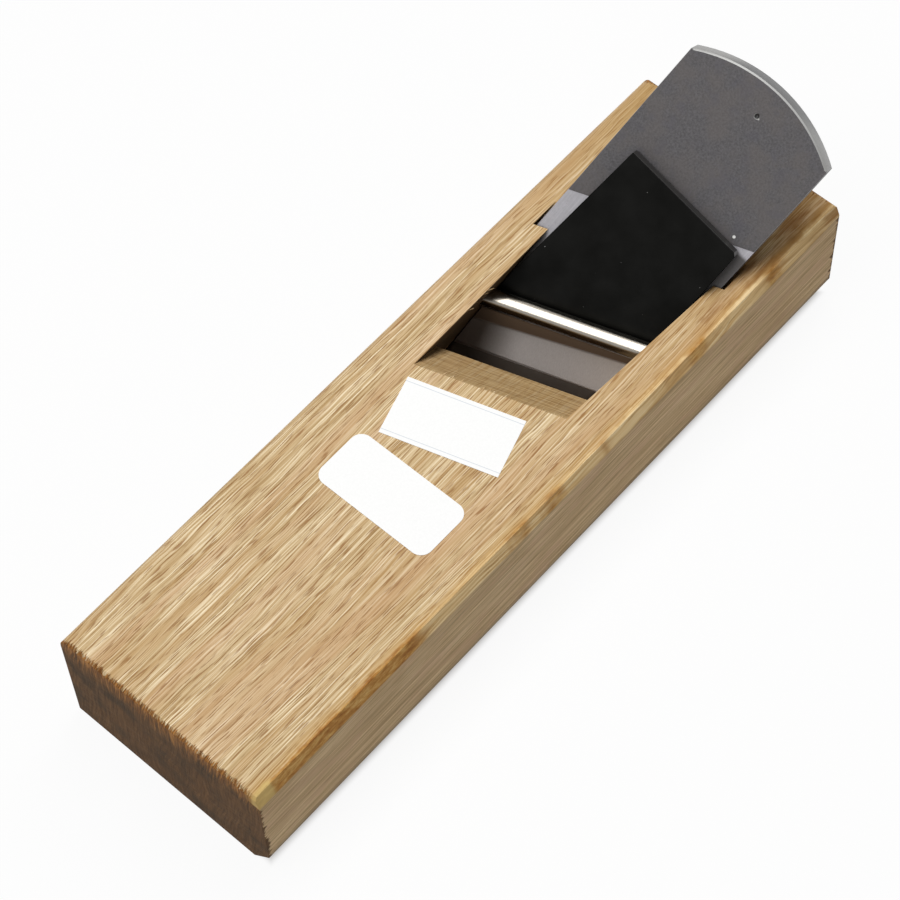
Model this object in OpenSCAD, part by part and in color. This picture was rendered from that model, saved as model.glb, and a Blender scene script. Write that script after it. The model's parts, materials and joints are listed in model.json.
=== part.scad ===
// Right-hand skew rebate plane with a wooden block, a laminated blade and a loose chip breaker.
// X runs from the tail to the head, Y to the working side and Z up. The origin is the middle of the sole.

/* [Body block] */
// Length of the block
body_length = 200; // [180:1:240]
// Width of the block
body_width = 60; // [56:0.5:68]
// Height of the block
body_height = 36.5; // [34:0.5:40]
// Radius of the soft upper edge on the working side
soft_edge_radius = 4; // [1:0.5:6]
// Width of the chamfer on the other upper edge
top_chamfer_width = 1.3; // [0.5:0.1:3]
// Height of the chamfer on the other upper edge
top_chamfer_height = 3.1; // [0.5:0.1:5]
// Width of the chamfer along the sole
sole_chamfer_width = 5; // [2:0.5:8]
// Height of the chamfer along the sole
sole_chamfer_height = 6.2; // [2:0.2:9]
// Chamfer on the upper edge of both ends
end_chamfer = 0.8; // [0.2:0.1:2]

/* [Blade seat] */
// Angle between the blade's face and the sole
pitch = 46.5; // [44:0.5:50]
// Turn of the mouth away from square across the block
skew = 18; // [14:0.5:22]
// Turn of the blade within its bed
lean = 24; // [20:0.5:27]
// Distance from the block's middle to the mouth, on the centre line
mouth_x = 21; // [10:1:30]
// How far the blade's corner would pass the working side if it were not ground flush
corner_overrun = 1.6; // [1:0.1:2.5]
// Width of the blade that the groove on the working side holds
groove_grip = 2.6; // [2:0.1:4]
// Width of the blade that the other groove holds
cheek_grip = 1.6; // [1.2:0.1:3]
// Lean of the throat's wall on that side, over the blade's face
cheek_lean = 5.6; // [0:0.2:8]
// Gap in the sole in front of the blade's face
mouth_gap = 1.9; // [1.5:0.1:4]
// Length of the sloping front of the throat
ramp_run = 10.4; // [6:0.2:14]
// Depth of the sloping front of the throat
ramp_depth = 7; // [4:0.5:10]
// Height of the mouth's opening in the working side
side_mouth_height = 8; // [7:0.5:11]

/* [Blade] */
// Width of the blade
blade_width = 42; // [38:0.5:44]
// Length from the cutting edge to the head's corners, along the middle
blade_length = 100; // [92:1:110]
// Rise of the arched head between its corners
blade_arch = 6; // [2:0.5:8]
// Thickness of the blade down at the sole
edge_thickness = 3.8; // [3.2:0.1:4.6]
// Thickness of the blade at the head
head_thickness = 6.3; // [5:0.1:7.5]
// Angle of the ground bevel
bevel_angle = 28; // [25:1:32]
// Length of the hard steel plate, along the middle
steel_length = 65; // [50:1:75]
// Thickness of the hard steel plate
steel_thickness = 1.6; // [1:0.1:2.2]
// Distance that the cutting edge is drawn back from the sole, along the blade
blade_set = 1; // [0.6:0.1:2]
// Chamfer round the arched head
head_chamfer = 0.4; // [0.2:0.1:1.2]
// Diameter of the test dimple near the head
dimple_diameter = 1.4; // [0.8:0.1:2]
// Distance from the top of the arch to the dimple
dimple_drop = 7.4; // [4:0.1:12]
// Sideways place of the dimple
dimple_side = 0.6; // [-8:0.1:8]

/* [Chip breaker] */
// Thickness of the chip breaker
breaker_thickness = 3.2; // [2.6:0.1:3.8]
// Angle by which the ears lift the chip breaker off the blade
breaker_lift = 1; // [0.6:0.1:1.4]
// Distance of its lower edge behind the cutting edge, once it is tapped down
breaker_set = 1.5; // [1.3:0.1:3]
// How far it is drawn back from that place
breaker_drawn = 15; // [8:0.5:18]
// Height that its top stands above the block once it is tapped down, along the blade
breaker_stand = 3.4; // [2:0.1:8]
// How much its slanting side draws in towards the top
breaker_narrowing = 3.4; // [0:0.1:5]
// Length of its slanting side
breaker_slant = 42; // [30:1:48]
// How much its top edge rises towards the working side
breaker_top_rise = 1.6; // [0:0.1:4]
// Cut across its upper outer corner
breaker_corner = 0.7; // [0.5:0.1:2.5]
// Length of the ears
ear_length = 8.2; // [5:0.1:12]
// Width of each ear
ear_width = 1.9; // [1:0.1:3]
// Distance of the ears from the chip breaker's sides
ear_inset = 0.4; // [0.2:0.1:2]
// Length of its ground bevel, along the middle
grind_length = 10; // [7:0.5:13]
// Turn of the grinding line away from the cutting edge
grind_turn = 2.5; // [0:0.5:4]
// Thickness left at the end of the bevel
grind_edge = 0.5; // [0.3:0.1:1]
// Angle of the fine bevel at its lower edge
breaker_edge_angle = 45; // [35:1:60]
// Width of the flat left at its lower edge
breaker_edge_flat = 0.1; // [0.05:0.05:0.2]

/* [Presser pin] */
// Diameter of the pin
pin_diameter = 5; // [4:0.1:6]
// Distance from the mouth up the blade's face to the pin
pin_up = 31; // [28:0.5:34]
// Depth of the pin's blind hole
pin_seat = 8; // [5:0.5:10]
// Depth of the pin's end below the working side
pin_recess = 1.5; // [1.2:0.1:3]

/* [Labels] */
// Thickness of the paper
label_thickness = 0.15; // [0.1:0.05:0.3]
// Length of the square-cut label
square_label_length = 29.5; // [20:0.5:34]
// Width of the square-cut label
square_label_width = 15.9; // [10:0.1:17]
// Turn of the square-cut label across the block
square_label_turn = 17; // [10:0.5:24]
// Distance from the throat back to the middle of the square-cut label
square_label_back = 12.3; // [12:0.1:14]
// Sideways place of the square-cut label
square_label_side = -0.2; // [-6:0.1:6]
// Length of the round-cornered label
round_label_length = 32.8; // [20:0.1:36]
// Width of the round-cornered label
round_label_width = 15.8; // [10:0.1:17]
// Corner radius of the round-cornered label
round_label_radius = 3; // [1:0.1:4]
// Distance from the throat back to the middle of the round-cornered label
round_label_back = 34.3; // [34:0.1:44]
// Sideways place of the round-cornered label
round_label_side = -1.3; // [-6:0.1:6]

/* [Fits] */
// Play between the blade and each side groove
groove_play = 0.9; // [0.7:0.1:1.2]
// Small turn of the blade in its loose grooves
blade_turn = 0.6; // [-0.6:0.1:0.6]
// Gap between the blade's face and the grooves' pressing faces
press_gap = 0.5; // [0.3:0.1:1]
// Gap between the blade's back and the bed
bed_gap = 0.1; // [0.08:0.01:0.3]
// Gap between the chip breaker and the pin
pin_gap = 0.3; // [0.2:0.05:0.6]
// Play between the chip breaker and the throat's walls
breaker_play = 0.3; // [0.2:0.1:1]
// Gap between the chip breaker and the blade's face
slide_gap = 0.05; // [0.02:0.01:0.1]

/* [Hidden] */
$fn = 96;
// Larger than the object: the size of blocks that cut along a plane
far = 400;
// Overlap of cutting tools past the faces that they open
over = 1;

// Where the middle of the blade's face meets the sole
edge_y = body_width / 2 + corner_overrun - blade_width / 2 * cos(skew) / cos(lean);
edge_x = mouth_x - edge_y * tan(skew);
groove_width = blade_width + 2 * groove_play;
throat_left = groove_grip - blade_width / 2;
throat_right = blade_width / 2 - cheek_grip;
throat_front_x = mouth_x - (mouth_gap + ramp_run) / cos(skew);

// Blade, measured up its middle from the sole
corner_up = blade_set + blade_length;
turn_up = body_height / sin(pitch) / cos(lean);
arch_up = corner_up + blade_arch;
arch_radius = (pow(blade_width / 2, 2) + pow(blade_arch, 2)) / (2 * blade_arch);
taper = atan((head_thickness - edge_thickness) / corner_up);
steel_up = blade_set + steel_length;

// Height of the chip breaker's upper face above the blade, at a distance up the blade's face from its lower edge
function plate_top(up) = slide_gap + up * tan(breaker_lift) + breaker_thickness / cos(breaker_lift);

// Place across the blade of the throat's leaning wall, at a height above the blade's face
function cheek_at(lift) = throat_right - lift * tan(cheek_lean);

// Chip breaker, across from the middle of the blade and up from its lower edge
breaker_place = blade_set + breaker_set;
breaker_low = breaker_place + breaker_drawn;
breaker_top = turn_up + breaker_stand - breaker_place;
breaker_top_left = breaker_top + breaker_top_rise;
breaker_right = cheek_at(plate_top(breaker_top)) - breaker_play;
breaker_left = throat_left + breaker_play;
breaker_left_top = breaker_left + breaker_narrowing;
ear_reach = 2 * breaker_thickness;
grind_angle = atan((breaker_thickness - grind_edge) / (grind_length * cos(lean)));

// Presser pin, in the plane of the blade's face, close above the chip breaker once it is tapped down
pin_lift = plate_top(pin_up - breaker_place * cos(lean)) + pin_gap + pin_diameter / 2;
pin_side_y = edge_y + sin(skew) * (pin_up * cos(pitch) - pin_lift * sin(pitch));
pin_outlet = (pin_side_y - body_width / 2) / cos(skew);
pin_start = pin_outlet + pin_recess;
pin_end = (cheek_at(pin_lift) + pin_up * sin(lean)) / cos(lean) + pin_seat;

// Frame at the mouth: X along the mouth away from the working side, Y towards the head
module at_mouth() {
    translate([edge_x, edge_y, 0]) rotate([0, 0, skew - 90]) children();
}

// Frame of the blade's face: Y up the face, Z out of it
module at_face() {
    at_mouth() rotate([pitch, 0, 0]) children();
}

// Frame of the leaning grooves: Y along the blade's travel
module at_blade() {
    at_face() rotate([0, 0, -lean]) children();
}

// Frame of the blade itself, turned a little in its grooves where it leaves the block
module at_iron() {
    at_blade() translate([0, turn_up, 0]) rotate([0, 0, -blade_turn]) translate([0, -turn_up, 0]) children();
}

// Frame of the chip breaker's underside, lifted about its lower edge
module at_breaker() {
    at_blade() translate([0, breaker_low, slide_gap])
        rotate([0, 0, lean]) rotate([breaker_lift, 0, 0]) rotate([0, 0, -lean]) children();
}

// Everything above the plane Z = 0
module above() {
    translate([-far / 2, -far / 2, 0]) cube([far, far, far / 2]);
}

// Everything below the plane Z = 0
module below() {
    mirror([0, 0, 1]) above();
}

// Everything above the bed that the tapered blade lies on, or above its back
module above_bed(gap) {
    at_blade() translate([0, 0, -edge_thickness - gap]) rotate([-taper, 0, 0]) above();
}

// Cross-section of the block, with Y across and Z up
module body_section() {
    half = body_width / 2;
    difference() {
        polygon([
            [-half + sole_chamfer_width, 0], [half, 0],
            [half, body_height], [-half + top_chamfer_width, body_height],
            [-half, body_height - top_chamfer_height], [-half, sole_chamfer_height]
        ]);
        translate([half - soft_edge_radius, body_height - soft_edge_radius]) difference() {
            square(soft_edge_radius + over);
            circle(soft_edge_radius);
        }
    }
}

// Chamfer cut across the upper edge of the head end
module end_chamfer_cut() {
    translate([body_length / 2 - end_chamfer, 0, body_height]) rotate([0, 45, 0]) above();
}

// Space in front of the bed, from the mouth up over the ramp
module throat_side() {
    ramp_over = ramp_run * over / ramp_depth;
    at_mouth() rotate([90, 0, 90]) linear_extrude(far, center = true) polygon([
        [-mouth_gap, -over], [-mouth_gap, body_height - ramp_depth],
        [-mouth_gap - ramp_run - ramp_over, body_height + over],
        [far / 2, body_height + over], [far / 2, -over]
    ]);
}

// Space between the throat's walls, and below it the grooves, seen along the blade's travel
module throat_walls() {
    at_blade() rotate([90, 0, 0]) linear_extrude(far, center = true) {
        polygon([
            [throat_left, 0], [throat_right, 0],
            [cheek_at(far / 4), far / 4], [throat_left, far / 4]
        ]);
        translate([-groove_width / 2, press_gap - far / 4]) square([groove_width, far / 4]);
    }
}

module throat_cut() {
    intersection() {
        throat_side();
        throat_walls();
        above_bed(bed_gap);
    }
}

// Opening of the mouth in the working side
module side_mouth_cut() {
    intersection() {
        throat_side();
        above_bed(bed_gap);
        at_mouth() translate([-far / 2, -far / 2, -over]) cube([far / 2, far, side_mouth_height + over]);
    }
}

// Pin or its hole along the mouth, from one place to another
module pin_rod(start, end) {
    at_face() translate([start, pin_up, pin_lift]) rotate([0, 90, 0]) cylinder(h = end - start, d = pin_diameter);
}

module body_block() {
    color("#c79a5c") difference() {
        rotate([90, 0, 90]) linear_extrude(body_length, center = true) body_section();
        end_chamfer_cut();
        mirror([1, 0, 0]) end_chamfer_cut();
        throat_cut();
        side_mouth_cut();
        pin_rod(pin_outlet - pin_diameter, pin_end);
    }
}

module presser_pin() {
    color("#d8d8d6") pin_rod(pin_start, pin_end);
}

// Arched head: what lies inside it stays
module head_arch() {
    translate([0, arch_up - arch_radius, 0]) rotate_extrude() polygon([
        [0, -far / 4], [arch_radius, -far / 4], [arch_radius, -head_chamfer],
        [arch_radius - head_chamfer, 0], [0, 0]
    ]);
}

// Whole blade before it is split into iron and steel
module blade_blank() {
    difference() {
        intersection() {
            at_iron() translate([-blade_width / 2, -far / 4, -far / 4])
                cube([blade_width, far / 4 + arch_up, far / 4]);
            above_bed(0);
        }
        at_iron() difference() {
            translate([-far / 2, corner_up, -far / 2]) cube(far);
            head_arch();
        }
        at_face() translate([0, blade_set * cos(lean), 0]) rotate([-bevel_angle, 0, 0]) below();
        translate([-far / 2, body_width / 2, -far / 2]) cube(far);
    }
}

// Place of the hard steel in the blade's face
module steel_zone() {
    at_face() translate([-far / 2, -far / 2, -steel_thickness]) cube([far, far / 2 + steel_up * cos(lean), far]);
}

module dimple_cut() {
    at_iron() translate([dimple_side, arch_up - dimple_drop, -dimple_diameter / 2])
        cylinder(h = dimple_diameter, d1 = 0, d2 = 2 * dimple_diameter);
}

module blade_iron() {
    color("#77787a") difference() {
        blade_blank();
        steel_zone();
        dimple_cut();
    }
}

module blade_steel() {
    color("#b4b6b8") intersection() {
        blade_blank();
        steel_zone();
    }
}

// Plate of the chip breaker, seen square to its underside
module breaker_outline() {
    polygon([
        [breaker_left, breaker_left * tan(lean)], [breaker_right, breaker_right * tan(lean)],
        [breaker_right, breaker_top - breaker_corner], [breaker_right - breaker_corner, breaker_top],
        [breaker_left_top, breaker_top_left], [breaker_left, breaker_top_left - breaker_slant]
    ]);
}

// Bent ear under an upper corner: from the given place across the plate, drawn down to the blade's face
module ear(across) {
    intersection() {
        at_breaker() translate([across, breaker_top - ear_length, -ear_reach])
            cube([ear_width, ear_length - breaker_corner, ear_reach + breaker_thickness / 2]);
        at_blade() translate([0, 0, slide_gap]) above();
    }
}

module chip_breaker() {
    color("#1d1d1f") {
        difference() {
            at_breaker() linear_extrude(breaker_thickness) breaker_outline();
            at_breaker() translate([0, grind_length, breaker_thickness]) rotate([0, 0, lean + grind_turn])
                rotate([grind_angle, 0, 0]) translate([-far / 2, -far, 0]) cube(far);
            at_breaker() rotate([0, 0, lean]) translate([0, 0, breaker_edge_flat])
                rotate([breaker_edge_angle, 0, 0]) above();
        }
        ear(breaker_right - ear_inset - ear_width);
        ear(breaker_left_top + ear_inset);
    }
}

module square_label() {
    color("#f2f2ee")
        translate([throat_front_x - square_label_back, square_label_side, body_height + label_thickness / 2])
        rotate([0, 0, square_label_turn])
        cube([square_label_width, square_label_length, label_thickness], center = true);
}

module round_label() {
    inner_width = round_label_width - 2 * round_label_radius;
    inner_length = round_label_length - 2 * round_label_radius;
    color("#f4f4f1") translate([throat_front_x - round_label_back, round_label_side, body_height])
        linear_extrude(label_thickness) {
            square([round_label_width, inner_length], center = true);
            square([inner_width, round_label_length], center = true);
            for (x = [-1, 1], y = [-1, 1])
                translate([x * inner_width / 2, y * inner_length / 2]) circle(round_label_radius);
        }
}

body_block();
presser_pin();
blade_iron();
blade_steel();
chip_breaker();
square_label();
round_label();
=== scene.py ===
"""Looks of the rebate plane: finishes, soft edges, torn fibres, floor, light and the photograph's camera.

Lengths are millimetres of the part's own frame: X to the head, Y to the working side, Z up from the sole.
Only the floor's width and the lamp's place and size are metres.
"""
import json
import math
import random

import bpy
from mathutils import Matrix, Quaternion, Vector


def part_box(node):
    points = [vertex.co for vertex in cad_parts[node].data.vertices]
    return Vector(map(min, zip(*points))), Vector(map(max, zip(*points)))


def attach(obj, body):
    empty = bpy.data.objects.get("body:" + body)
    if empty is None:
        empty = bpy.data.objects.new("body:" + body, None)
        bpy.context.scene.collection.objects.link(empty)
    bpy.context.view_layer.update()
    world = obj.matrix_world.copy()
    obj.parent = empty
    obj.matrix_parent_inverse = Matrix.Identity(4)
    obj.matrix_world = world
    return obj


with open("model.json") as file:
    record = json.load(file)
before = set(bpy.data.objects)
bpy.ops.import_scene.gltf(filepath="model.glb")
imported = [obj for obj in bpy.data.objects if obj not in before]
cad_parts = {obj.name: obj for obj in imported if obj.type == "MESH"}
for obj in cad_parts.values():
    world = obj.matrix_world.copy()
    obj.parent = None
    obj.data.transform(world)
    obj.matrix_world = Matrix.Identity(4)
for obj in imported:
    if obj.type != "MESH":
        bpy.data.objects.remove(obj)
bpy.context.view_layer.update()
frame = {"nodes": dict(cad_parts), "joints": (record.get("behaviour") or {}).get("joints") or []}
nodes = frame["nodes"]

MM = 0.001
MM_PER_M = 1000.0


def linear(red, green, blue):
    """A colour as it shows on a screen, 0 to 255, in the linear values that a shader takes."""
    def channel(value):
        share = value / 255
        return share / 12.92 if share <= 0.04045 else ((share + 0.055) / 1.055) ** 2.4
    return channel(red), channel(green), channel(blue), 1.0


class Finish:
    """A material being made: each call adds a node and gives back its output."""

    def __init__(self, name, **constants):
        self.material = bpy.data.materials.new(name)
        self.material.use_nodes = True
        self.tree = self.material.node_tree
        self.shader = self.tree.nodes["Principled BSDF"]
        self.set(**constants)

    def set(self, **sockets):
        """Sets or links the shader's own sockets, with their spaces written as underscores."""
        for name, value in sockets.items():
            self.put(self.shader.inputs[name.replace("_", " ")], value)

    def put(self, socket, value):
        """Links an output to a socket, or sets the socket's own value."""
        if isinstance(value, bpy.types.NodeSocket):
            self.tree.links.new(value, socket)
        else:
            socket.default_value = value

    def add(self, kind, inputs=None, output=0, **settings):
        """Adds one node with its settings, and fills its inputs by name or number."""
        made = self.tree.nodes.new("ShaderNode" + kind)
        for name, value in settings.items():
            setattr(made, name, value)
        for key, value in (inputs or {}).items():
            self.put(made.inputs[key], value)
        return made.outputs[output]

    def place(self):
        """Place on the piece in millimetres; it moves with the piece."""
        metres = self.add("TexCoord", output="Object")
        return self.add("VectorMath", {0: metres, "Scale": MM_PER_M}, operation="SCALE")

    def normal(self):
        """The way that the surface faces."""
        return self.add("NewGeometry", output="Normal")

    def split(self, vector):
        """The three parts of a vector."""
        first = self.add("SeparateXYZ", {0: vector})
        return first.node.outputs[0], first.node.outputs[1], first.node.outputs[2]

    def join(self, x, y, z):
        """A vector of three parts."""
        return self.add("CombineXYZ", {0: x, 1: y, 2: z})

    def math(self, operation, *values):
        """One sum on the given values."""
        return self.add("Math", dict(enumerate(values)), operation=operation)

    def product(self, first, *others):
        """All the given values multiplied."""
        for other in others:
            first = self.math("MULTIPLY", first, other)
        return first

    def along(self, vector, direction):
        """How far a vector reaches in a direction."""
        return self.add("VectorMath", {0: vector, 1: direction}, "Value", operation="DOT_PRODUCT")

    def noise(self, vector, size, detail=2.0, roughness=0.5):
        """Cloudy values about 0.5, with patches of the given size along each axis."""
        scaled = self.add("VectorMath", {0: vector, 1: size}, operation="DIVIDE")
        return self.add(
            "TexNoise", {"Vector": scaled, "Scale": 1.0, "Detail": detail, "Roughness": roughness}
        )

    def rise(self, value, low, high):
        """0 below low and 1 above high, with a soft step between; low may be the higher one."""
        return self.add(
            "MapRange", {"Value": value, "From Min": low, "From Max": high}, interpolation_type="SMOOTHSTEP"
        )

    def range(self, value, low, high):
        """A 0 to 1 value spread from low to high."""
        return self.add("MapRange", {"Value": value, "To Min": low, "To Max": high})

    def mix(self, share, first, second):
        """A blend of two colours, with the given share of the second one."""
        return self.add("Mix", {0: share, 6: first, 7: second}, 2, data_type="RGBA")

    def ramp(self, value, *stops):
        """A colour scale through (place, colour) stops."""
        output = self.add("ValToRGB", {0: value})
        scale = output.node.color_ramp
        while len(scale.elements) < len(stops):
            scale.elements.new(1.0)
        for element, (stop, colour) in zip(scale.elements, stops):
            element.position = stop
            element.color = colour
        return output

    def bump(self, height, depth):
        """Fine relief from a 0 to 1 height map, the given millimetres deep."""
        self.set(Normal=self.add("Bump", {"Height": height, "Strength": 1.0, "Distance": depth * MM}))


# Where things lie on the part

PITCH = math.radians(46.5)
SKEW = math.radians(18)
# Along the mouth away from the working side, and ahead of it towards the head
MOUTH = Vector((math.sin(SKEW), -math.cos(SKEW), 0.0))
AHEAD = Vector((math.cos(SKEW), math.sin(SKEW), 0.0))
# Up along the blade's travel, out of its face, and across it away from the working side
TRAVEL = Vector(frame["joints"][0]["axis"])
FACE = Vector((0.0, 0.0, math.cos(PITCH))) - AHEAD * math.sin(PITCH)
ACROSS = TRAVEL.cross(FACE)
# Where the middle of the blade's face would meet the sole
EDGE = Vector((17.84, 9.74, 0.0))
block_low, block_high = (corner * MM_PER_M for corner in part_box("body_block"))
TOP = block_high.z
RIGHT = block_low.y
LONG = block_high.x
# The growth rings' lean, and their waves: size along each axis, detail, and reach across the rings
RING_LEAN = 0.12
RING_WAVES = (((90, 16, 20), 2.0, 5.0), ((16, 5, 9), 1.0, 0.7), ((6, 2.5, 4), 1.0, 0.28))
# How far the frayed end grain reaches over top and sides: its waver, and where it begins and is whole
FRAY = 5.0
FRAY_FROM = LONG + 1.6
FRAY_TO = LONG + 2.2
# Heights where the worn right upper edge begins and is whole, and where the painted shade along the side's
# foot does
WORN_FROM = TOP - 3.9
WORN_TO = TOP - 3.2
FOOT_SHADE_FROM = 8.4
FOOT_SHADE_TO = 6.6
# Along the block: where the worn edge turns from brown to pale, and where its stains begin and are whole
BROWN_END = -52
PALE_START = -42
STAIN_FROM = 44
STAIN_TO = 58


# Finishes

def oak_top(finish, place, grain, lines, dashes):
    """The block's top: fine lines and brown dashes, warmer on both cheeks and stained near the head."""
    x, y, _ = finish.split(place)
    colour = finish.ramp(
        lines,
        (0.33, linear(172, 138, 93)),
        (0.46, linear(203, 175, 131)),
        (0.54, linear(216, 190, 148)),
        (0.67, linear(250, 232, 198)),
    )
    tone = finish.noise(grain, (80, 2.5, 14), 3.0, 0.55)
    brown = finish.product(finish.rise(tone, 0.52, 0.36), 0.45)
    colour = finish.mix(brown, colour, linear(188, 148, 97))
    bands = finish.noise(grain, (120, 8, 20), 2.0)
    rosy = finish.product(finish.rise(bands, 0.5, 0.66), 0.35)
    colour = finish.mix(rosy, colour, linear(208, 168, 130))
    colour = finish.mix(finish.product(dashes, 0.75), colour, linear(152, 106, 63))
    warm = finish.product(finish.rise(x, 5, 45), finish.rise(y, -6, -18), 0.35)
    colour = finish.mix(warm, colour, linear(178, 138, 84))
    amber = finish.product(finish.rise(x, 10, 105), finish.rise(y, 6, 14), 0.7)
    colour = finish.mix(amber, colour, linear(180, 143, 90))
    stains = finish.rise(finish.noise(place, (12, 4, 8), 3.0, 0.6), 0.42, 0.62)
    stained = finish.product(stains, finish.rise(x, 48, 78), finish.rise(y, -14, -22), 0.6)
    return finish.mix(stained, colour, linear(150, 106, 52))


def oak_sides(finish, place, colour):
    """The block's sides: short fibres, pink blotches, and painted shade along the right side's foot above
    its chamfer.
    """
    _, y, z = finish.split(place)
    _, normal_y, _ = finish.split(finish.normal())
    side = finish.rise(finish.math("ABSOLUTE", normal_y), 0.5, 0.95)
    side_colour = finish.ramp(
        finish.noise(place, (24, 0.9, 0.65), 4.0, 0.68),
        (0.3, linear(160, 133, 94)),
        (0.5, linear(203, 174, 133)),
        (0.7, linear(240, 214, 171)),
    )
    blotches = finish.noise(place, (9, 3.5, 3.5), 2.0)
    pink = finish.product(finish.rise(blotches, 0.48, 0.66), 0.4)
    side_colour = finish.mix(pink, side_colour, linear(212, 176, 144))
    # Painted shade: the right side is darkened along its foot, next to the floor.
    foot_shade = finish.product(finish.rise(z, FOOT_SHADE_FROM, FOOT_SHADE_TO), finish.rise(y, 0, -20), 0.55)
    side_colour = finish.mix(foot_shade, side_colour, linear(122, 112, 98))
    return finish.mix(finish.product(side, 0.9), colour, side_colour)


def oak_ends(finish, place, grain, lines, colour):
    """The block's ends: dark end grain, frayed at its edges, sawn, smudged, and orange below the top."""
    x, y, z = finish.split(place)
    normal_x, _, _ = finish.split(finish.normal())
    frayed = finish.noise(place, (30, 0.45, 1.5), 3.0, 0.6)
    out = finish.math("MULTIPLY_ADD", frayed, FRAY, finish.math("ABSOLUTE", x))
    end = finish.rise(finish.math("ABSOLUTE", normal_x), 0.75, 0.95)
    end = finish.math("MAXIMUM", end, finish.rise(out, FRAY_FROM, FRAY_TO))
    pores = finish.noise(grain, (40, 0.5, 7), 3.0, 0.65)
    end_colour = finish.ramp(
        pores,
        (0.34, linear(82, 59, 36)),
        (0.5, linear(101, 73, 46)),
        (0.66, linear(120, 88, 57)),
    )
    saw_z = finish.math("MULTIPLY_ADD", y, 0.22, z)
    saw_marks = finish.noise(finish.join(x, y, saw_z), (60, 16, 0.5), 2.0)
    sawn = finish.product(finish.rise(saw_marks, 0.5, 0.7), 0.28)
    end_colour = finish.mix(sawn, end_colour, linear(126, 104, 78))
    smudge = finish.product(finish.rise(finish.noise(place, (20, 9, 7), 3.0), 0.42, 0.7), 0.6)
    end_colour = finish.mix(smudge, end_colour, linear(58, 49, 36))
    fade = finish.math("MULTIPLY_ADD", pores, 18.0, z)
    near_top = finish.product(finish.rise(fade, 37.0, 47.0), finish.rise(end, 0.6, 0.9))
    top_colour = finish.ramp(lines, (0.4, linear(118, 76, 40)), (0.6, linear(186, 131, 74)))
    end_colour = finish.mix(near_top, end_colour, top_colour)
    return finish.mix(end, colour, end_colour)


def oak_ramp(finish, place, colour):
    """The ramp before the throat, cut across the grain."""
    x, _, z = finish.split(place)
    normal_x, _, normal_z = finish.split(finish.normal())
    on_ramp = finish.product(
        finish.rise(normal_x, 0.3, 0.5), finish.rise(normal_z, 0.5, 0.7), finish.rise(x, 60, 50)
    )
    across_ramp = finish.join(finish.along(place, MOUTH), finish.along(place, AHEAD), z)
    ramp_colour = finish.ramp(
        finish.noise(across_ramp, (14, 0.7, 0.7), 3.0, 0.55),
        (0.34, linear(136, 107, 68)),
        (0.5, linear(159, 130, 88)),
        (0.66, linear(179, 150, 106)),
    )
    return finish.mix(finish.product(on_ramp, 0.8), colour, ramp_colour)


def oak_worn_edge(finish, place, lines, colour):
    """The worn right upper edge: yellow at the tail, then brown, then pale, and stained near the head."""
    x, y, z = finish.split(place)
    waver = finish.math("MULTIPLY_ADD", finish.noise(place, (7, 50, 50), 4.0, 0.65), 2.8, -1.4)
    from_edge = finish.math("ADD", finish.math("SUBTRACT", y, RIGHT), waver)
    up_edge = finish.math("MULTIPLY_ADD", waver, 0.2, z)
    above_side = finish.rise(up_edge, WORN_FROM, WORN_TO)
    rubbed = finish.product(finish.rise(from_edge, 5.0, 1.6), above_side, 0.55)
    colour = finish.mix(rubbed, colour, linear(196, 152, 88))
    worn = finish.product(finish.rise(from_edge, 2.6, 1.5), above_side)
    worn_colour = finish.ramp(
        finish.noise(place, (4, 1.0, 1.0), 4.0, 0.65),
        (0.34, linear(148, 94, 42)),
        (0.5, linear(182, 130, 66)),
        (0.66, linear(212, 172, 106)),
    )
    tail_end = finish.rise(finish.math("ADD", x, finish.math("MULTIPLY", waver, 1.5)), -93.5, -96.0)
    worn_colour = finish.mix(finish.product(tail_end, 0.7), worn_colour, linear(216, 192, 126))
    patches = finish.rise(finish.noise(place, (14, 30, 30), 3.0), 0.3, 0.5)
    paler = finish.product(finish.rise(x, BROWN_END, PALE_START), patches)
    pale_colour = finish.ramp(
        lines,
        (0.36, linear(198, 160, 108)),
        (0.5, linear(232, 200, 146)),
        (0.64, linear(252, 228, 180)),
    )
    worn_colour = finish.mix(finish.product(paler, 0.9), worn_colour, pale_colour)
    colour = finish.mix(finish.product(worn, 0.9), colour, worn_colour)
    spots = finish.rise(finish.noise(place, (14, 3.5, 6), 4.0, 0.55), 0.47, 0.66)
    near_edge = finish.product(finish.rise(from_edge, 9.0, 5.0), above_side)
    spotted = finish.product(spots, near_edge, finish.rise(x, STAIN_FROM, STAIN_TO), 0.6)
    return finish.mix(spotted, colour, linear(140, 90, 42))


def oak_throat_painted_shade(finish, place, colour):
    """The throat's overhanging wall, painted dark brown as the shade that falls on it."""
    x, y, z = finish.split(place)
    _, normal_y, _ = finish.split(finish.normal())
    throat_wall_shade = finish.product(
        finish.rise(finish.math("SUBTRACT", TOP, z), 0.3, 1.5),
        finish.rise(finish.math("ABSOLUTE", y), 26.0, 25.0),
        finish.rise(x, 0.0, 2.0),
        finish.rise(normal_y, -0.45, -0.65),
    )
    # Painted shade: the overhanging wall is darkened to dark brown.
    return finish.mix(finish.product(throat_wall_shade, 0.85), colour, linear(50, 34, 24))


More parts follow.
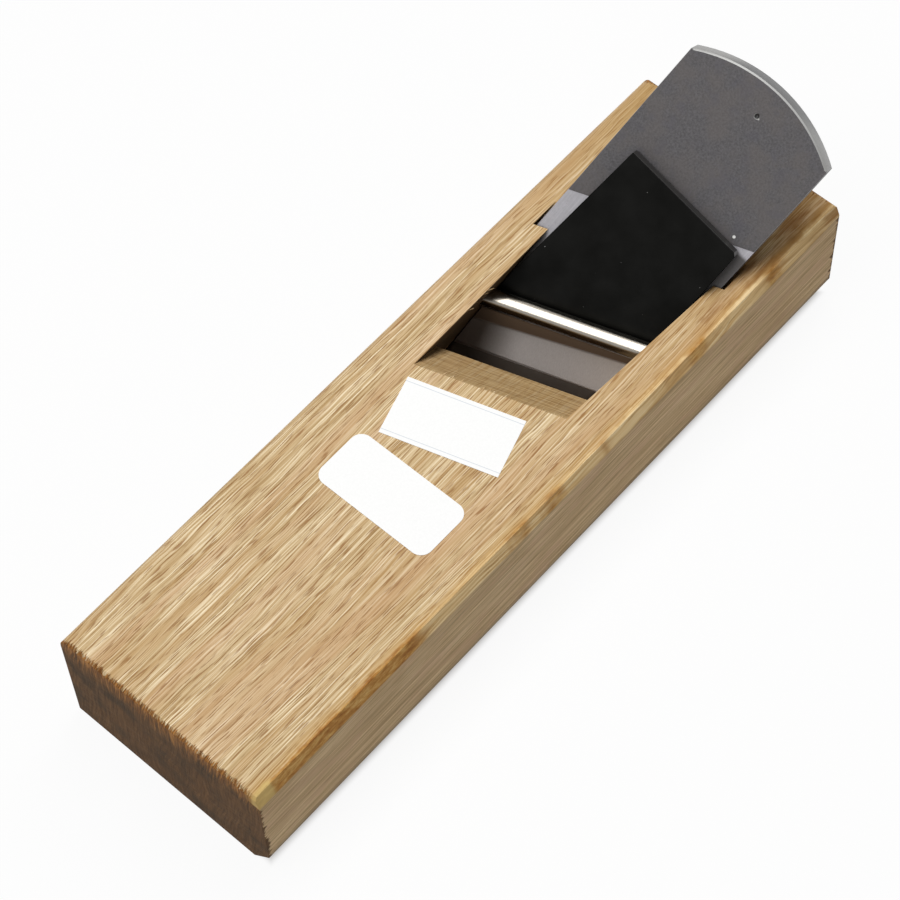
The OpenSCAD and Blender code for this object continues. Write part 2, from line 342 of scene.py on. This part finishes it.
def oak():
    """Oiled oak, with growth rings that stand upright and run along the block."""
    finish = Finish("oak", Roughness=0.65, Specular_IOR_Level=0.05)
    place = finish.place()
    x, y, z = finish.split(place)
    ring_y = finish.math("MULTIPLY_ADD", z, RING_LEAN, y)
    for size, detail, reach in RING_WAVES:
        ring_y = finish.math("MULTIPLY_ADD", finish.noise(place, size, detail), reach, ring_y)
    grain = finish.join(x, ring_y, z)
    lines = finish.noise(grain, (28, 0.34, 6), 2.0, 0.6)
    dashes = finish.rise(finish.noise(grain, (6.5, 0.36, 4), 2.0, 0.5), 0.56, 0.67)
    colour = oak_top(finish, place, grain, lines, dashes)
    colour = oak_sides(finish, place, colour)
    colour = oak_ends(finish, place, grain, lines, colour)
    colour = oak_ramp(finish, place, colour)
    colour = oak_worn_edge(finish, place, lines, colour)
    colour = oak_throat_painted_shade(finish, place, colour)
    finish.set(Base_Color=colour)
    finish.bump(finish.math("SUBTRACT", lines, dashes), 0.05)
    return finish.material


def steel(name, seen, roughness, cloud, spread, metal=1.0):
    """A grey metal's finish begun, with fine clouds and pits, and with it its place and colour."""
    finish = Finish(name, Metallic=metal)
    place = finish.place()
    clouds = finish.noise(place, (cloud, cloud, cloud), 4.0, 0.65)
    dark = tuple((1 - spread) * value for value in seen[:3]) + (1.0,)
    light = tuple((1 + spread) * value for value in seen[:3]) + (1.0,)
    colour = finish.ramp(clouds, (0.3, dark), (0.7, light))
    pits = finish.rise(finish.noise(place, (0.35, 0.35, 0.35), 1.0), 0.68, 0.78)
    colour = finish.mix(finish.product(pits, 0.4), colour, linear(40, 38, 38))
    finish.set(Base_Color=colour, Roughness=finish.range(clouds, roughness + 0.06, roughness - 0.06))
    finish.bump(pits, 0.01)
    return finish, place, colour


def pin_steel():
    """Polished steel rod."""
    return steel("pin_steel", linear(146, 140, 131), 0.19, 3.0, 0.05)[0].material


# Spots on the iron, with painted shade in the dimple, a painted highlight on its rim, and a bright speck:
# place across and up the blade, radius and colour
DIMPLE_SHADE = (1.07, 99.55, 0.65, linear(24, 23, 23))
DIMPLE_RIM_HIGHLIGHT = (1.8, 99.3, 0.24, linear(160, 159, 156))
BRIGHT_SPECK = (15.4, 75.0, 0.4, linear(225, 225, 222))
# Painted shade beside the chip breaker, where its shadow and the groove's shade fall: where it begins and is
# whole across the blade, then up the blade
SHADE_BESIDE_BREAKER = ((14.0, 17.0, 73.4, 72.2), (-17.0, -18.4, 46.5, 43.0))


def on_blade(finish, place):
    """How far across and up the blade a place lies."""
    across = finish.math("SUBTRACT", finish.along(place, ACROSS), EDGE.dot(ACROSS))
    up = finish.math("SUBTRACT", finish.along(place, TRAVEL), EDGE.dot(TRAVEL))
    return across, up


def soft_iron():
    """Satin mottled iron, brighter on the hammered head, with arrises worn bright and partly a painted
    highlight, painted shade in the dimple and a painted highlight on the dimple's rim.
    """
    finish, place, colour = steel("soft_iron", linear(83, 81, 83), 0.5, 0.5, 0.34, 0.3)
    broad = finish.rise(finish.noise(place, (7, 7, 7), 3.0), 0.42, 0.62)
    colour = finish.mix(finish.product(broad, 0.4), colour, linear(95, 89, 86))
    cool = finish.rise(finish.noise(place, (4, 4, 4), 3.0), 0.5, 0.66)
    colour = finish.mix(finish.product(cool, 0.35), colour, linear(79, 77, 84))
    normal = finish.normal()
    towards_head = finish.along(normal, TRAVEL)
    colour = finish.mix(finish.rise(towards_head, 0.5, 0.9), colour, linear(102, 102, 102))
    # The arrises are lighter: worn bright, and partly a painted highlight.
    arris = finish.product(finish.rise(towards_head, 0.1, 0.3), finish.rise(towards_head, 0.9, 0.75))
    colour = finish.mix(arris, colour, linear(166, 166, 164))
    sideways = finish.math("ABSOLUTE", finish.along(normal, ACROSS))
    arris = finish.product(finish.rise(sideways, 0.15, 0.4), finish.rise(sideways, 0.95, 0.8))
    colour = finish.mix(arris, colour, linear(150, 149, 147))
    # Painted shade in the dimple and a painted highlight on its rim, and a bright speck.
    for across, up, radius, spot_colour in (DIMPLE_SHADE, DIMPLE_RIM_HIGHLIGHT, BRIGHT_SPECK):
        centre = EDGE + ACROSS * across + TRAVEL * up
        away = finish.add("VectorMath", {0: place, 1: centre}, "Value", operation="DISTANCE")
        colour = finish.mix(finish.rise(away, radius * 1.15, radius * 0.75), colour, spot_colour)
    finish.set(Base_Color=colour)
    return finish.material


def hard_steel():
    """Steel brushed along the blade, polished towards its edge and darkened there as painted shade of the
    mouth, with painted shade beside the chip breaker.
    """
    finish, place, colour = steel("hard_steel", linear(172, 170, 175), 0.4, 1.5, 0.08)
    across, up = on_blade(finish, place)
    brushed = finish.join(*(finish.along(place, axis) for axis in (TRAVEL, ACROSS, FACE)))
    brushing = finish.noise(brushed, (6.0, 0.2, 0.2), 2.0)
    bright = finish.product(finish.rise(brushing, 0.4, 0.7), 0.25)
    colour = finish.mix(bright, colour, linear(205, 205, 210))
    # Towards the edge the steel is polished, and its colour there is darker and browner as painted shade of
    # the mouth.
    polish_and_shade = finish.rise(up, 48.0, 34.0)
    colour = finish.mix(polish_and_shade, colour, linear(122, 114, 106))
    # Painted shade: the steel beside the chip breaker is darkened where its shadow falls.
    for across_from, across_to, up_from, up_to in SHADE_BESIDE_BREAKER:
        beside = finish.product(finish.rise(across, across_from, across_to), finish.rise(up, up_from, up_to))
        colour = finish.mix(finish.product(beside, 0.9), colour, linear(50, 46, 42))
    finish.set(Base_Color=colour, Metallic=finish.range(polish_and_shade, 0.25, 1.0))
    finish.bump(brushing, 0.01)
    return finish.material


# The chip breaker's grinding line: its turn away from the line across the blade, and its place up the blade
GRIND_TURN = math.radians(26.5)
GRIND_UP = 27.5


def black_steel():
    """Blackened steel with bright specks, ground below a slanting line, with a painted brown reflection of
    the wooden ramp just above that line and painted shade on the ground bevel's left end.
    """
    finish = Finish("black_steel", Specular_Tint=(0.3, 0.3, 0.3, 1.0))
    place = finish.place()
    up_grind = TRAVEL * math.cos(GRIND_TURN) - ACROSS * math.sin(GRIND_TURN)
    line = (EDGE + TRAVEL * GRIND_UP).dot(up_grind)
    above = finish.math("SUBTRACT", finish.along(place, up_grind), line)
    ground = finish.rise(above, 0.25, -0.5)
    clouds = finish.noise(place, (6, 6, 6), 3.0)
    black = finish.ramp(clouds, (0.3, linear(20, 20, 19)), (0.7, linear(26, 26, 25)))
    specks = finish.rise(finish.noise(place, (0.5, 0.5, 0.5), 1.0), 0.82, 0.84)
    black = finish.mix(specks, black, linear(150, 150, 148))
    # Painted reflection: a brown band just above the grinding line stands in for the wooden ramp's light on
    # the black steel.
    black = finish.mix(finish.rise(above, 4.5, 2.5), black, linear(92, 76, 62))
    # The upper end face and its arris are lighter: rubbed bare, and partly a painted highlight.
    towards_head = finish.along(finish.normal(), TRAVEL)
    upper_edge = finish.rise(towards_head, 0.2, 0.4)
    black = finish.mix(upper_edge, black, linear(40, 39, 38))
    rubbed = finish.product(upper_edge, finish.rise(towards_head, 0.9, 0.7))
    black = finish.mix(rubbed, black, linear(92, 91, 89))
    scratches = finish.noise(place, (0.8, 0.12, 0.8), 2.0)
    bright = finish.ramp(scratches, (0.3, linear(198, 191, 187)), (0.7, linear(212, 206, 202)))
    # Painted shade: the ground bevel's left end, under the throat's overhanging wall, is darkened.
    across, _ = on_blade(finish, place)
    shaded_left_end = finish.product(finish.rise(across, -4.0, -13.0), 0.5)
    bright = finish.mix(shaded_left_end, bright, linear(84, 74, 64))
    finish.set(
        Base_Color=finish.mix(ground, black, bright),
        Roughness=finish.range(ground, 0.36, 0.55),
        Metallic=finish.range(finish.math("MAXIMUM", ground, upper_edge), 1.0, 0.1),
    )
    finish.bump(finish.noise(place, (0.4, 0.4, 0.4), 1.0), 0.006)
    return finish.material


def paper(name, rule_side=None, rule_places=()):
    """White paper, with thin printed rules across a direction where places for them are given."""
    finish = Finish(name, Roughness=0.8, Specular_IOR_Level=0.2)
    place = finish.place()
    fibre = finish.noise(place, (0.5, 0.5, 0.5), 2.0)
    colour = finish.ramp(fibre, (0.3, linear(250, 250, 249)), (0.7, linear(253, 253, 252)))
    for rule in rule_places:
        off = finish.math("ABSOLUTE", finish.math("SUBTRACT", finish.along(place, rule_side), rule))
        colour = finish.mix(finish.rise(off, 0.12, 0.04), colour, linear(212, 218, 224))
    finish.set(Base_Color=colour)
    return finish.material


# Rounding of sharp edges: its width in wood and in metal, its steps, and the turn that makes an edge sharp.
# Points closer than the weld are joined first, and faces that turn less than the flat turn are merged.
WOOD_EDGE = 0.45
METAL_EDGE = 0.2
EDGE_STEPS = 3
SHARP_TURN = math.radians(28)
WELD = 0.001
FLAT_TURN = math.radians(1)


def dress(name, material, edge=0.0):
    """Gives a CAD node its finish, and rounds its sharp edges by the given millimetres."""
    node = nodes[name]
    node.data.materials.clear()
    node.data.materials.append(material)
    if not edge:
        return
    weld = node.modifiers.new("weld", "WELD")
    weld.merge_threshold = WELD * MM
    flat = node.modifiers.new("flat", "DECIMATE")
    flat.decimate_type = "DISSOLVE"
    flat.angle_limit = FLAT_TURN
    round_over = node.modifiers.new("round_over", "BEVEL")
    round_over.width = edge * MM
    round_over.segments = EDGE_STEPS
    round_over.limit_method = "ANGLE"
    round_over.angle_limit = SHARP_TURN
    round_over.harden_normals = True


LABEL_TURN = math.radians(17)
LABEL_WIDTH = 15.9
RULE_INSET = 1.1

wood = oak()
label_side = Vector((math.cos(LABEL_TURN), math.sin(LABEL_TURN), 0.0))
label_low, label_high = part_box("square_label")
label_middle = ((label_low + label_high) / 2 * MM_PER_M).dot(label_side)
rule_off = LABEL_WIDTH / 2 - RULE_INSET

dress("body_block", wood, WOOD_EDGE)
dress("presser_pin", pin_steel())
dress("blade_iron", soft_iron(), METAL_EDGE)
dress("blade_steel", hard_steel())
dress("chip_breaker", black_steel(), METAL_EDGE)
dress("square_label", paper("ruled_paper", label_side, (label_middle - rule_off, label_middle + rule_off)))
dress("round_label", paper("plain_paper"))


# Torn fibres

# Distance from the mouth's edge back to the ramp's upper edge, and that edge's ends across the blade
RAMP_BACK = 12.3
RAMP_START = -17.6
RAMP_END = 15.8
# The throat's leaning wall: its distance across the blade, its lean, and where splinters stand along it
WALL_ACROSS = 18.4
WALL_LEAN = 0.295
WALL_UPRIGHT = 0.9554
SPLINTERS = (21.5, 24.6, 26.2, 27.4, 28.8)
# Torn fibres: how far they lie below the top and begin behind the ramp's edge, their thickness, the range of
# their widths, and the ranges of their reach with the share of short ones
FIBRE_SEED = 7
FIBRE_DOWN = 0.02
FIBRE_BACK = 0.3
FIBRE_THICK = 0.25
FIBRE_WIDTH = (0.35, 0.9)
SHORT_REACH = (0.15, 0.6)
LONG_REACH = (0.6, 1.3)
SHORT_SHARE = 0.7
SPLINTER_WIDTH = 0.5
SPLINTER_THICK = 0.3


class Fibres:
    """Small pointed slivers of wood, joined in one piece."""

    def __init__(self):
        self.points = []
        self.faces = []

    def sliver(self, root, tip, side, thickness):
        """A sliver from root to tip; its root is as wide as the side vector and as deep as the thickness."""
        first = len(self.points)
        sink = Vector((0.0, 0.0, -thickness))
        left, right = root - side / 2, root + side / 2
        self.points += [left, right, right + sink, left + sink, tip]
        for face in ((0, 4, 1), (1, 4, 2), (2, 4, 3), (3, 4, 0), (0, 1, 2, 3)):
            self.faces.append([first + corner for corner in face])

    def finished(self, name, material):
        """Puts the slivers on the block as one piece."""
        mesh = bpy.data.meshes.new(name)
        mesh.from_pydata([point * MM for point in self.points], [], self.faces)
        mesh.materials.append(material)
        piece = bpy.data.objects.new(name, mesh)
        bpy.context.scene.collection.objects.link(piece)
        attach(piece, "block")


def ramp_fibres():
    """Uneven fibre ends of the block's top along the ramp's upper edge."""
    chance = random.Random(FIBRE_SEED)
    fibres = Fibres()
    start = EDGE - AHEAD * RAMP_BACK + Vector((0.0, 0.0, TOP - FIBRE_DOWN))
    lean = MOUTH.dot(ACROSS)
    place = (RAMP_START - (start - EDGE).dot(ACROSS)) / lean
    end = (RAMP_END - (start - EDGE).dot(ACROSS)) / lean
    while place < end:
        width = chance.uniform(*FIBRE_WIDTH)
        reach = chance.uniform(*(SHORT_REACH if chance.random() < SHORT_SHARE else LONG_REACH))
        root = start + MOUTH * (place + width / 2) - Vector((FIBRE_BACK, 0.0, 0.0))
        drop = Vector((reach + FIBRE_BACK, chance.uniform(-0.1, 0.1), -0.12 - 0.2 * reach))
        fibres.sliver(root, root + drop, MOUTH * width, FIBRE_THICK)
        place += width * chance.uniform(0.6, 1.1)
    fibres.finished("ramp_fibres", wood)


def wall_splinters():
    """A few splinters that stand out of the throat's leaning wall at its upper edge."""
    chance = random.Random(FIBRE_SEED + 1)
    fibres = Fibres()
    for start_x in SPLINTERS:
        below = chance.uniform(0.3, 1.6)
        wall_y = EDGE.y + (WALL_ACROSS - (TOP - below) * WALL_LEAN) / WALL_UPRIGHT
        root = Vector((start_x, wall_y + 0.15, TOP - below))
        reach = chance.uniform(0.8, 1.9)
        tip = root + Vector((reach, -0.45 * reach, chance.uniform(-0.1, 0.35)))
        fibres.sliver(root, tip, Vector((SPLINTER_WIDTH, 0.0, 0.0)), SPLINTER_THICK)
    fibres.finished("wall_splinters", wood)


ramp_fibres()
wall_splinters()


# Floor, light and camera

FLOOR_SIZE = 40.0
# The floor lies just below the sole, and its glow ends this far inside the block's outline
FLOOR_DROP = 0.05
UNDER = 4.0
FLOOR_COLOUR = (0.8, 0.8, 0.8, 1.0)
FLOOR_GLOW = 0.93
SKY_STRENGTH = 0.12
KEY_TOWARDS = Vector((0.05, 0.13, 1.0))
KEY_DISTANCE = 1.4
KEY_LENGTH = 2.8
KEY_WIDTH = 0.6
KEY_LEVEL = 1.4
CAMERA_PLACE = Vector((-251.58, -235.44, 620.27))
CAMERA_AIM = Vector((-2.28, 2.78, 20.0))
CAMERA_ROLL = -2.633
CAMERA_LENS = 119.76
WHITE = (1.0, 1.0, 1.0, 1.0)


def seen_directly(tree):
    """1 for the camera's own rays and for what gloss and glass show, 0 for light that falls on things."""
    path = tree.nodes.new("ShaderNodeLightPath")
    share = path.outputs["Is Camera Ray"]
    for kind in ("Is Glossy Ray", "Is Transmission Ray"):
        larger = tree.nodes.new("ShaderNodeMath")
        larger.operation = "MAXIMUM"
        tree.links.new(share, larger.inputs[0])
        tree.links.new(path.outputs[kind], larger.inputs[1])
        share = larger.outputs[0]
    return share


def floor():
    """Pale floor that shows white beside the block, keeps a faint shadow, and stays dark under the sole."""
    mesh = bpy.data.meshes.new("floor")
    half = FLOOR_SIZE / 2
    corners = [(-half, -half, 0), (half, -half, 0), (half, half, 0), (-half, half, 0)]
    mesh.from_pydata(corners, [], [(0, 1, 2, 3)])
    plane = bpy.data.objects.new("floor", mesh)
    plane.location.z = -FLOOR_DROP * MM
    bpy.context.scene.collection.objects.link(plane)
    finish = Finish("floor", Base_Color=FLOOR_COLOUR, Roughness=1.0, Specular_IOR_Level=0.0)
    x, y, _ = finish.split(finish.place())
    beside_x = finish.rise(finish.math("ABSOLUTE", x), LONG - UNDER, LONG)
    beside_y = finish.rise(finish.math("ABSOLUTE", y), -RIGHT - UNDER, -RIGHT)
    beside = finish.math("MAXIMUM", beside_x, beside_y)
    share = finish.product(seen_directly(finish.tree), beside, FLOOR_GLOW)
    blend = finish.add("MixShader", {0: share, 1: finish.shader.outputs[0], 2: finish.add("Emission")})
    finish.put(finish.tree.nodes["Material Output"].inputs["Surface"], blend)
    mesh.materials.append(finish.material)


def sky():
    """White surroundings that light the object softly."""
    world = bpy.data.worlds.new("sky")
    bpy.context.scene.world = world
    world.use_nodes = True
    tree = world.node_tree
    tree.nodes.clear()
    output = tree.nodes.new("ShaderNodeOutputWorld")
    light = tree.nodes.new("ShaderNodeBackground")
    light.inputs["Color"].default_value = WHITE
    light.inputs["Strength"].default_value = SKY_STRENGTH
    shown = tree.nodes.new("ShaderNodeBackground")
    shown.inputs["Color"].default_value = WHITE
    blend = tree.nodes.new("ShaderNodeMixShader")
    tree.links.new(seen_directly(tree), blend.inputs[0])
    tree.links.new(light.outputs[0], blend.inputs[1])
    tree.links.new(shown.outputs[0], blend.inputs[2])
    tree.links.new(blend.outputs[0], output.inputs["Surface"])


def key_light():
    """One soft lamp overhead, longer along the block than across it."""
    data = bpy.data.lights.new("key_light", "AREA")
    data.shape = "RECTANGLE"
    data.size = KEY_LENGTH
    data.size_y = KEY_WIDTH
    data.energy = KEY_LEVEL * math.pi ** 2 * KEY_DISTANCE ** 2
    lamp = bpy.data.objects.new("key_light", data)
    up = KEY_TOWARDS.normalized()
    across = up.cross(Vector((1.0, 0.0, 0.0))).normalized()
    lamp.location = up * KEY_DISTANCE
    lamp.rotation_euler = Matrix((across.cross(up), across, up)).transposed().to_euler()
    bpy.context.scene.collection.objects.link(lamp)


def camera():
    """Camera at the photograph's place."""
    data = bpy.data.cameras.new("camera")
    data.lens = CAMERA_LENS
    viewer = bpy.data.objects.new("camera", data)
    viewer.location = CAMERA_PLACE * MM
    level = (CAMERA_AIM - CAMERA_PLACE).to_track_quat("-Z", "Y")
    viewer.rotation_euler = (level @ Quaternion((0, 0, 1), math.radians(CAMERA_ROLL))).to_euler()
    bpy.context.scene.collection.objects.link(viewer)
    bpy.context.scene.camera = viewer


floor()
sky()
key_light()
camera()
bpy.context.scene.view_settings.view_transform = "Standard"
